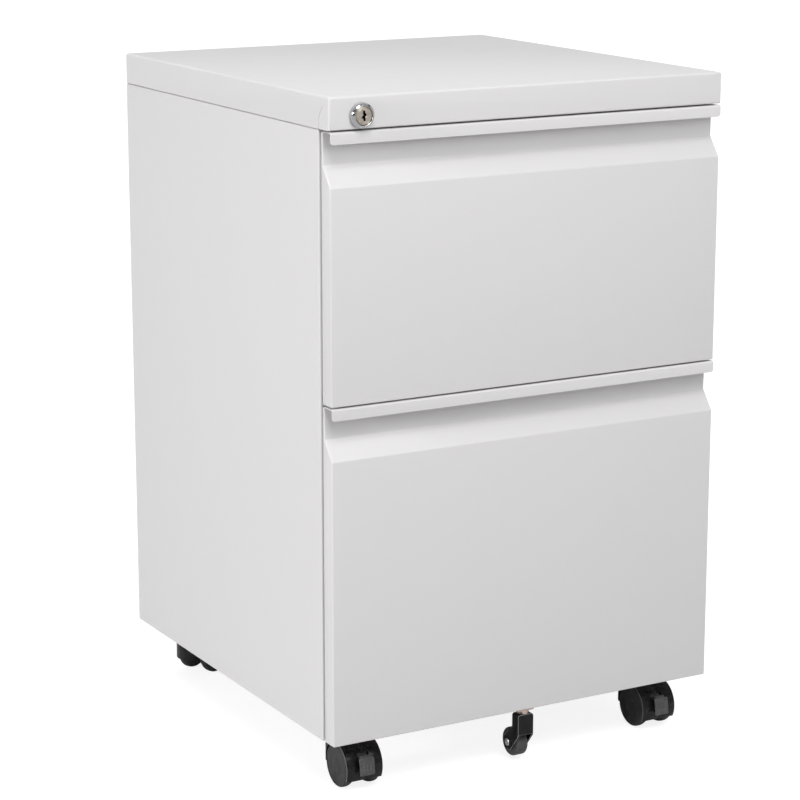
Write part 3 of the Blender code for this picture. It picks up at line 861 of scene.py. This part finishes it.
# %% Fold the trays
TRAY_HALF = 168.9 * MM
TRAY_FLANGE = 5.0 * MM
TRAY_RADIUS = 1.2 * MM
TRAY_SIDE_TOP = {"upper": 540 * MM, "lower": 300 * MM}
for level, side_top in TRAY_SIDE_TOP.items():
    low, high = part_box(f"{level}_tray")
    corner_low = Vector((-TRAY_HALF, low.y, low.z))
    corner_high = Vector((TRAY_HALF, high.y, side_top))
    tray = start_box(f"{level}_folded_tray", corner_low, corner_high)
    bpy.ops.object.mode_set(mode="EDIT")
    pick("FACE", lambda f: near(middle(f).z, side_top))
    bpy.ops.mesh.delete(type="FACE")
    pick("EDGE", lambda e: near(middle(e).z, side_top) and near(middle(e).y, low.y))
    rise = (0, 0, high.z - side_top)
    bpy.ops.mesh.extrude_region_move(TRANSFORM_OT_translate={"value": rise})
    for side in (-1, 1):
        pick("EDGE", lambda e: near(middle(e).z, side_top) and near(middle(e).x, side * TRAY_HALF))
        reach = (side * TRAY_FLANGE, 0, 0)
        bpy.ops.mesh.extrude_region_move(TRANSFORM_OT_translate={"value": reach})
    round_folds(TRAY_RADIUS, 3)
    face_out()
    bpy.ops.object.mode_set(mode="OBJECT")
    thicken(tray, Vector((0, 0, -1)))
    soften_edges(tray)
    shade(tray)
    complete(tray, powder_coat, f"{level}_drawer", WHITE, f"{level}_tray")

# %% [markdown]
# ## Pieces that keep their shape
# Rails, posts, brackets and flat panels already have their true section in the frame. A copy of
# each is merged into whole faces, and its corners are rounded by a fraction of a millimetre,
# which is what rolling and stamping leave behind.


# %% Refine a copy of a CAD part
def refined(name, node, material, body, slot, radius=0.2):
    """A merged copy of a frame part, with its corners softened by a radius in millimetres."""
    hold(nodes[node])
    bpy.ops.object.duplicate()
    piece = bpy.context.object
    piece.name = name
    bpy.ops.object.parent_clear(type="CLEAR_KEEP_TRANSFORM")
    settle(piece)
    piece.hide_render = False
    piece.data.materials.clear()
    bpy.ops.object.mode_set(mode="EDIT")
    bpy.ops.mesh.select_all(action="SELECT")
    bpy.ops.mesh.remove_doubles(threshold=MERGE)
    bpy.ops.mesh.dissolve_limited(angle_limit=math.radians(0.6))
    bpy.ops.object.mode_set(mode="OBJECT")
    round_corners(piece, radius, 2, 42)
    shade(piece)
    complete(piece, material, body, slot, node)


for side in ("left", "right"):
    for place in ("front", "rear"):
        node = f"upright_{side}_{place}"
        refined(f"folded_{node}", node, zinc, "cabinet", STEEL, 0.35)
    for level in ("upper", "lower"):
        carriers = {
            "outer": "cabinet", "middle": f"{level}_slide_middles", "inner": f"{level}_drawer",
        }
        for member, body in carriers.items():
            node = f"{level}_slide_{member}_{side}"
            refined(f"{level}_{member}_rail_{side}", node, zinc, body, STEEL, 0.25)
for level in ("upper", "lower"):
    refined(f"{level}_catch", f"{level}_lock_catch", zinc, f"{level}_drawer", STEEL)
for side in ("left", "right"):
    refined(f"folder_rail_{side}", f"file_rail_{side}", zinc, "lower_drawer", STEEL)
refined("lifting_bar", "lock_bar", zinc, "lock_bar", STEEL)
refined("lock_hexagon", "lock_nut", zinc, "cabinet", STEEL, 0.4)
refined("cam_plate", "lock_cam", zinc, "lock_cylinder", STEEL)
refined("rear_panel", "back_panel", powder_coat, "cabinet", WHITE)
refined("base_pan", "base_panel", powder_coat, "cabinet", WHITE, 0.3)

# %% [markdown]
# ## The cam lock
# A cam lock is turned work, so its housing and plug are profiles spun round the lock's axis. The
# bezel rises in a soft cone to a narrow front ring, and the plug sits just inside it. The
# keyhole follows the zigzag section of a flat key, and its walls are painted black as painted
# shade.

# %% Turn the lock
BEZEL_PROFILE = [
    (7.75, -0.9), (7.75, -5.6), (7.85, -5.85), (8.1, -6.0), (8.45, -6.0), (8.7, -5.85),
    (8.85, -5.5), (9.15, -5.3), (9.7, -4.9), (10.2, -4.3), (10.55, -3.6), (10.75, -2.8),
    (10.8, -2.0), (10.8, -0.75), (10.65, -0.4), (10.3, -0.3), (8.0, -0.3), (8.0, 23.0),
    (6.5, 23.0), (6.5, -0.9),
]
PLUG_PROFILE = [
    (0, -5.5), (6.15, -5.5), (6.25, -5.38), (6.45, -5.38), (6.55, -5.5), (7.0, -5.5),
    (7.25, -5.4), (7.4, -5.15), (7.4, -1.2), (6.2, -1.2), (6.2, 24.0), (0, 24.0),
]
KEYHOLE = [
    (-0.8, 4.4), (0.9, 4.4), (0.9, 2.8), (1.5, 2.0), (2.2, 1.2), (2.2, 0.2), (1.0, -0.6),
    (0.9, -1.7), (1.3, -2.3), (1.3, -4.4), (-0.6, -4.4), (-0.6, -2.6), (-1.9, -1.8),
    (-2.1, -0.5), (-0.8, 0.5), (-0.8, 1.6), (-1.3, 2.2), (-1.0, 3.0),
]
KEYHOLE_REACH = 8
DIMPLE_RADIUS = 0.9 * MM
DIMPLE_AT = Vector((0, -5.9, 5.3)) * MM
lock_origin = Vector((LOCK_CENTRE.x, lid_low.y, LOCK_CENTRE.z))
bezel = lathe("lock_bezel", BEZEL_PROFILE, "Y", 72, lock_origin, closed=True)
shade(bezel, 40)
complete(bezel, chrome, "cabinet", CHROME, "lock_housing")

plug = lathe("key_plug", PLUG_PROFILE, "Y", 64, lock_origin)
keyhole_outline = [(x + LOCK_AT.x, z + LOCK_AT.z) for x, z in KEYHOLE]
keyhole = plate("keyhole", keyhole_outline, "Y", FACE_Y - KEYHOLE_REACH, FACE_Y + KEYHOLE_REACH)
# The keyhole's walls take the black coat as painted shade inside the keyway.
for material in (nickel, black_coat):
    plug.data.materials.append(material)
keyhole.data.polygons.foreach_set("material_index", [1] * len(keyhole.data.polygons))
combine(plug, "DIFFERENCE", keyhole)
bpy.ops.mesh.primitive_uv_sphere_add(
    segments=24, ring_count=12, radius=DIMPLE_RADIUS, location=lock_origin + DIMPLE_AT
)
combine(plug, "DIFFERENCE", settle(bpy.context.object))
round_corners(plug, 0.12, 2, 50)
shade(plug, 40)
complete(plug, nickel, "lock_cylinder", CHROME, "lock_plug")

# %% [markdown]
# ## The castors
# Each castor is a moulded body with a hood over two wheels. The body starts as its side view,
# is trimmed to its plan, and then the wheel wells, the axle's bore and the stem's socket are cut
# out. It is made once at the origin, with its stem on the Z axis, and copied to the four stems.

# %% The castor's own sizes, in millimetres
AXLE = (-18.0, 19.5)
WHEEL_RADIUS = 19.5
HOOD_RADIUS = 21.4
HOOD_HALF = 17.5
HOOD_TOP = 47.3
WEB_HALF = 5.5
HUB_RADIUS = 11
WHEEL_GAP = 0.7
AXLE_BORE = 2.6
STEM_SOCKET = 4.3
LEVER_PIVOT = (-30.0, 30.0)
LEVER_ROOM = 4.0


def mould_hood(name, braked):
    """The castor's body, with room for a brake lever if it has one."""
    side_view = arc(AXLE, HOOD_RADIUS, 208, 80, 44)
    side_view += [(-12.6, 43.6), (-11.4, 46.2), (-9.4, HOOD_TOP)]
    side_view += [(15.5, HOOD_TOP), (15.5, 17.5), (AXLE[0], 17.5), (AXLE[0], side_view[0][1])]
    hood = plate(name, side_view, "X", -HOOD_HALF - 1, HOOD_HALF + 1)
    plan = [(HOOD_HALF, -60)] + arc((0, -3), HOOD_HALF, 0, 180, 44) + [(-HOOD_HALF, -60)]
    combine(hood, "INTERSECT", plate("plan", plan, "Z", 5, 60))
    hub = rod("hub", HUB_RADIUS, "X", -WEB_HALF - 1, WEB_HALF + 1, (0, *AXLE))
    combine(hood, "UNION", hub)
    for start, end in ((-HOOD_HALF - 2, -WEB_HALF), (WEB_HALF, HOOD_HALF + 2)):
        well = rod("well", WHEEL_RADIUS + WHEEL_GAP, "X", start, end, (0, *AXLE), 96)
        combine(hood, "DIFFERENCE", well)
    combine(hood, "DIFFERENCE", rod("bore", AXLE_BORE, "X", -8, 8, (0, *AXLE), 32))
    socket = rod("socket", STEM_SOCKET, "Z", 33, HOOD_TOP + 2, vertices=32)
    combine(hood, "DIFFERENCE", socket)
    if braked:
        half = WEB_HALF + 0.2
        combine(hood, "DIFFERENCE", block("slot", (-half, -45, 17), (half, -30, 34)))
        room = rod("room", LEVER_ROOM, "X", -half, half, (0, *LEVER_PIVOT), 32)
        combine(hood, "DIFFERENCE", room)
    seam_ring = arc(AXLE, HOOD_RADIUS + 1, 210, 82, 40) + arc(AXLE, HOOD_RADIUS - 0.3, 82, 210, 40)
    combine(hood, "DIFFERENCE", plate("parting", seam_ring, "X", -0.2, 0.2))
    # The hood's rounded edges are painted lighter as a painted highlight.
    round_with_highlight(hood, hood_nylon, highlight_nylon, 0.4, 38)
    print(f"{name}: {len(hood.data.polygons)} faces")
    return hood


hood_models = {True: mould_hood("braked_hood", True), False: mould_hood("plain_hood", False)}

# %% A bead round the hood's rims, painted lighter as a painted highlight
BEAD_OUTER, BEAD_INNER = 21.2, 20.35
BEAD_SINK, BEAD_RISE = 0.2, 0.15
bead_section = arc(AXLE, BEAD_OUTER, 207, 92, 44) + arc(AXLE, BEAD_INNER, 92, 207, 44)
bead_low, bead_high = HOOD_HALF - BEAD_SINK, HOOD_HALF + BEAD_RISE
bead_model = plate("bead_model", bead_section, "X", bead_low, bead_high)
other_bead = plate("other_bead", bead_section, "X", -bead_high, -bead_low)
other_bead.select_set(True)
bead_model.select_set(True)
bpy.context.view_layer.objects.active = bead_model
bpy.ops.object.join()
round_corners(bead_model, 0.12, 2, 60)
shade(bead_model, 40)
print("rim beads:", len(bead_model.data.polygons), "faces")

# %% [markdown]
# ## Wheels and levers
# A wheel is one spun profile: a tread with rounded shoulders, and a face with a fine ring and a
# shallow dish. Its face closes over the end of the axle. The brake lever is a paddle for the
# foot, with three grip ribs, on an arm that pivots between the wheels.

# %% Mould the wheels
WHEEL_PROFILE = [
    (2.75, 5.9), (15.0, 5.9), (15.8, 6.1), (17.4, 7.7), (18.5, 9.2), (19.2, 10.8), (19.5, 12.4),
    (19.5, 14.4), (19.42, 15.4), (19.1, 16.3), (18.5, 16.95), (17.7, 17.25), (16.9, 17.3),
    (16.5, 17.25), (16.35, 17.0), (16.0, 16.95), (15.7, 17.05), (13.0, 16.85), (9.0, 16.7),
    (6.6, 16.8), (6.0, 17.1), (5.2, 17.25), (2.0, 17.3), (0, 17.3), (0, 16.98), (2.75, 16.98),
]


def mould_wheel(name, side):
    """One wheel on the axle, on the castor's left (-1) or right (1)."""
    centre = Vector((0, *AXLE)) * MM
    profile = [(radius, side * distance) for radius, distance in WHEEL_PROFILE]
    wheel = lathe(name, profile, "X", 72, centre, closed=True)
    shade(wheel, 36)
    return wheel


wheel_models = {
    "left": mould_wheel("wheel_model_left", -1), "right": mould_wheel("wheel_model_right", 1),
}

# %% Mould the lever
LEVER_ARM = arc((0, 0), 3.5, -60, 180, 16) + [
    (-8.5, 2.6), (-11.5, 1.6), (-12.8, 0.4), (-12.4, -2.0), (-8.5, -1.4), (-3.0, -2.4),
]
PADDLE = [
    (-10.6, 1.4), (-12.2, 1.5), (-13.0, 1.1), (-13.7, -2.2), (-14.2, -6.0), (-14.6, -10.0),
    (-14.9, -13.4), (-14.5, -14.1), (-13.6, -14.3), (-12.9, -13.9), (-12.5, -10.0), (-12.0, -6.0),
]
ARM_HALF = 4.9
PADDLE_HALF = 7.2
RIB_HALF = 5.6
RIB_RADIUS = 0.45
RIB_SPOTS = [(-13.85, -3.2), (-14.15, -6.2), (-14.45, -9.2)]


def at_pivot(outline):
    """Points given from the lever's pivot, moved to the pivot's place on the castor."""
    return [(y + LEVER_PIVOT[0], z + LEVER_PIVOT[1]) for y, z in outline]


lever_model = plate("lever_model", at_pivot(LEVER_ARM), "X", -ARM_HALF, ARM_HALF)
paddle = plate("paddle", at_pivot(PADDLE), "X", -PADDLE_HALF, PADDLE_HALF)
round_corners(paddle, 0.8, 3, 60)
combine(lever_model, "UNION", paddle)
for spot in at_pivot(RIB_SPOTS):
    combine(lever_model, "UNION", rod("rib", RIB_RADIUS, "X", -RIB_HALF, RIB_HALF, (0, *spot), 16))
# The lever's rounded edges are painted lighter as a painted highlight.
round_with_highlight(lever_model, lever_nylon, highlight_nylon, 0.22, 50)
print("wheels and lever moulded")

# %% Copy the castors to their stems
joints = {joint["name"]: joint for joint in frame["record"]["behaviour"]["joints"]}


def copy_to(model, name, place, turn=0.0):
    """A copy with its own mesh, turned about Z and moved."""
    hold(model)
    bpy.ops.object.duplicate()
    copy = bpy.context.object
    copy.name = name
    copy.rotation_euler = (0, 0, turn)
    copy.location = place
    return settle(copy)


for corner in ("front_left", "front_right", "rear_left", "rear_right"):
    castor = f"castor_{corner}"
    low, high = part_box(f"{castor}_stem")
    place = ((low.x + high.x) / 2, (low.y + high.y) / 2, 0)
    across = joints[f"{castor}_wheel_left_roll"]["axis"]
    turn = math.atan2(across[1], across[0])
    braked = corner.startswith("front")
    hood = copy_to(hood_models[braked], f"{castor}_moulded_hood", place, turn)
    complete(hood, hood_nylon, f"{castor}_swivel", PLASTIC, f"{castor}_hood")
    beads = copy_to(bead_model, f"{castor}_rim_beads", place, turn)
    # The rim beads are painted lighter as a painted highlight.
    complete(beads, highlight_nylon, f"{castor}_swivel", PLASTIC)
    for side in ("left", "right"):
        wheel = copy_to(wheel_models[side], f"{castor}_tyre_{side}", place, turn)
        body = f"{castor}_wheel_{side}"
        complete(wheel, wheel_nylon, body, PLASTIC, body)
    if braked:
        lever = copy_to(lever_model, f"{castor}_foot_lever", place, turn)
        complete(lever, lever_nylon, f"{castor}_brake", PLASTIC, f"{castor}_brake_lever")
    refined(f"{castor}_collar", f"{castor}_stem", zinc, "cabinet", STEEL, 0.25)
    refined(f"{castor}_pin", f"{castor}_axle", zinc, f"{castor}_swivel", STEEL, 0.3)
for model in (*hood_models.values(), *wheel_models.values(), bead_model, lever_model):
    bpy.data.objects.remove(model)

# %% [markdown]
# ## The fifth castor
# A full lower drawer could tip the pedestal, so a small wheel hangs under its front. Its fork is
# pressed from one strip of steel, riveted to a plate, and the wheel turns on a headed pin.

# %% Press the small fork
TIP_AT = (0.0, FACE_Y + 6.4)
TIP_AXLE = (FACE_Y + 18.3, 17.0)
FORK_TOP = 47.2
FORK_HALF = 8.0
FORK_SHEET = 1.5
FORK_FRONT = TIP_AT[1] - 5.8
FORK_REAR = TIP_AT[1] + 4.7
FORK_CORNER = 2.2 * MM
WEB_LOW = 28.0
CHEEK_RADIUS = 7.6
cheek = [(FORK_FRONT, FORK_TOP), (FORK_FRONT, WEB_LOW - 1)]
cheek += arc(TIP_AXLE, CHEEK_RADIUS, 215, 415, 40)
cheek += [(FORK_REAR, 33.5), (FORK_REAR, FORK_TOP)]
fork = plate("small_fork", cheek, "X", -FORK_HALF, FORK_HALF)
bpy.ops.object.mode_set(mode="EDIT")
pick("EDGE", lambda e: near(middle(e).z, FORK_TOP * MM) and near(abs(middle(e).x), FORK_HALF * MM))
bpy.ops.mesh.bevel(offset=FORK_CORNER, segments=6, affect="EDGES")
bpy.ops.object.mode_set(mode="OBJECT")
inner = FORK_HALF - FORK_SHEET
throat_front, throat_top = FORK_FRONT + FORK_SHEET, FORK_TOP - FORK_SHEET
cutters = [
    block("throat", (-inner, throat_front, -2), (inner, FORK_FRONT + 60, throat_top)),
    block("mouth", (-inner, FORK_FRONT - 2, -2), (inner, FORK_FRONT + 8, WEB_LOW)),
    rod("eye", 2.8, "Z", FORK_TOP - 5, FORK_TOP + 2, (*TIP_AT, 0), 32),
    rod("bore", 2.2, "X", -12, 12, (0, *TIP_AXLE), 32),
]
for cutter in cutters:
    combine(fork, "DIFFERENCE", cutter)
# The fork's rounded edges are painted a lighter grey as a painted highlight.
round_with_highlight(fork, black_coat, highlight_coat, 0.3, 40)
complete(fork, black_coat, "tip_castor_swivel", BLACK_STEEL, "tip_castor_fork")

# %% Turn the small wheel and its pin
half = inner - 0.7
TIP_WHEEL = [
    (2.3, -half), (10.4, -half), (10.7, -half + 0.3), (11.3, -half + 0.3), (11.6, -half),
    (12.3, -half + 0.25), (12.85, -half + 0.9), (13.0, -half + 1.8), (13.0, half - 1.8),
    (12.85, half - 0.9), (12.3, half - 0.25), (11.6, half), (11.3, half - 0.3), (10.7, half - 0.3),
    (10.4, half), (2.3, half),
]
head = FORK_HALF + 0.3
TIP_PIN = [
    (0, -head - 0.55), (0.9, -head - 0.55), (1.15, -head - 1.05), (1.5, -head - 1.2),
    (2.5, -head - 1.15), (3.1, -head - 0.8), (3.4, -head - 0.3), (3.4, -head), (2.0, -head),
    (2.0, head), (3.4, head), (3.4, head + 0.3), (3.1, head + 0.8), (2.5, head + 1.15),
    (1.5, head + 1.2), (1.15, head + 1.05), (0.9, head + 0.55), (0, head + 0.55),
]
tip_centre = Vector((0, *TIP_AXLE)) * MM
small_wheel = lathe("small_wheel", TIP_WHEEL, "X", 56, tip_centre, closed=True)
shade(small_wheel, 36)
complete(small_wheel, small_wheel_nylon, "tip_castor_wheel", PLASTIC, "tip_castor_wheel")
pin = lathe("small_pin", TIP_PIN, "X", 40, tip_centre)
shade(pin, 40)
complete(pin, zinc, "tip_castor_swivel", STEEL, "tip_castor_axle")
refined("raceway_plate", "tip_castor_mount", warm_zinc, "lower_drawer", STEEL, 0.3)

# %% [markdown]
# ## Screws and bumpers
# The small things show when a drawer is open: pan-head screws that hold the fronts and the
# slides, and the grey bumpers that a drawer closes against. Each is modelled once and copied.

# %% One screw and one bumper
SCREW_PROFILE = [
    (0, 0), (3.4, 0), (3.5, -0.3), (3.3, -0.95), (2.7, -1.45), (1.6, -1.75), (0, -1.85),
]
screw_model = lathe("screw_model", SCREW_PROFILE, "Y", 32)
CROSS_ARM, CROSS_WIDTH = 1.7, 0.35
for across, up in ((CROSS_ARM, CROSS_WIDTH), (CROSS_WIDTH, CROSS_ARM)):
    combine(screw_model, "DIFFERENCE", block("drive", (-across, -3, -up), (across, -1.0, up)))
shade(screw_model, 40)
BUMPER_PROFILE = [(0, 0), (3.6, 0), (3.6, -0.9), (3.3, -1.6), (2.7, -2.0), (0, -2.1)]
bumper_model = lathe("bumper_model", BUMPER_PROFILE, "Y", 32)
shade(bumper_model, 40)
print("screw and bumper ready")


# %% Fasten the drawers
FRONT_SCREW_X = 120
FRONT_SCREW_LOW, FRONT_SCREW_HIGH = 35, 12
SLIDE_SCREWS = (60, 180, 300)
BUMPER_X = 189
BUMPER_LOW, BUMPER_HIGH = 40, 30


def fasten(model, name, place, turn, material, body, slot):
    """A copy of a fastener at a place in millimetres, turned about Z by degrees."""
    piece = copy_to(model, name, Vector(place) * MM, math.radians(turn))
    complete(piece, material, body, slot)


pan_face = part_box("side_panel_left")[0].y / MM
for level in ("upper", "lower"):
    drawer = f"{level}_drawer"
    tray_low, tray_high = [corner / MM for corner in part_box(f"{level}_tray")]
    rail_low, rail_high = [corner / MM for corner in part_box(f"{level}_slide_inner_left")]
    front_low, front_high = [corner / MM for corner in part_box(f"{level}_drawer_front")]
    screw_heights = (tray_low.z + FRONT_SCREW_LOW, tray_high.z - FRONT_SCREW_HIGH)
    bumper_heights = (front_low.z + BUMPER_LOW, front_high.z - BUMPER_HIGH)
    for side, side_name in ((-1, "left"), (1, "right")):
        for number, height in enumerate(screw_heights):
            place = (side * FRONT_SCREW_X, tray_low.y + SHEET / MM, height)
            name = f"{level}_front_screw_{side_name}_{number}"
            fasten(screw_model, name, place, 180, zinc, drawer, STEEL)
        for number, along in enumerate(SLIDE_SCREWS):
            wall = side * (TRAY_HALF - SHEET) / MM
            place = (wall, rail_low.y + along, (rail_low.z + rail_high.z) / 2)
            name = f"{level}_slide_screw_{side_name}_{number}"
            fasten(screw_model, name, place, -90 * side, zinc, drawer, STEEL)
        for number, height in enumerate(bumper_heights):
            name = f"{level}_bumper_{side_name}_{number}"
            place = (side * BUMPER_X, pan_face, height)
            fasten(bumper_model, name, place, 0, bumper_rubber, "cabinet", PLASTIC)
for model in (screw_model, bumper_model):
    bpy.data.objects.remove(model)

# %% Print the sizes
low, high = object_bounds()
print("visual model from", low, "to", high)
